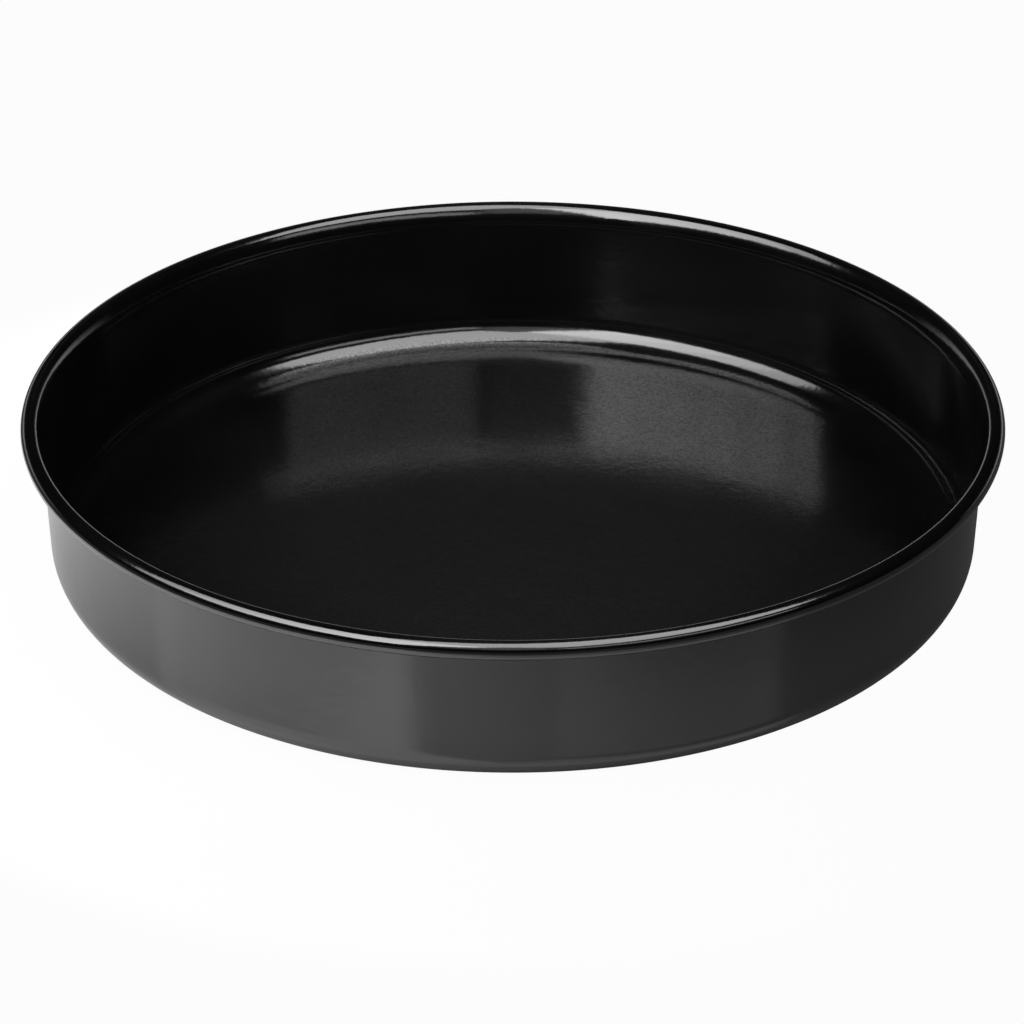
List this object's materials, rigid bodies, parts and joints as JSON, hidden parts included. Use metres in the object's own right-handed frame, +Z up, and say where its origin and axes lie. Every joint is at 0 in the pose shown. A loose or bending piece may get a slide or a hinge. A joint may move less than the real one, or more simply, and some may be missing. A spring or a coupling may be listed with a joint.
{
  "type": "round baking pan",
  "caption": "Round deep baking pan pressed from steel sheet, with a wired rolled rim, rounded inside foot, and glossy black enamel inside and out.",
  "frame": {"origin": "centre of the base's underside", "axes": "+Z up along the axis of the pan, out of its mouth; X and Y in the plane of the base"},
  "size_m": [0.3, 0.3, 0.0497],
  "materials": {
    "sheet_steel": "cold-rolled sheet, bare under the coats",
    "wire_steel": "drawn wire",
    "inside_enamel": "gloss black vitreous enamel with a faint grain on the floor",
    "outside_enamel": "gloss black vitreous enamel"
  },
  "bodies": {
    "root": {"steel_pressing": "sheet_steel", "rim_wire": "wire_steel", "inside_enamel": "inside_enamel", "outside_enamel": "outside_enamel"}
  },
  "joints": []
}
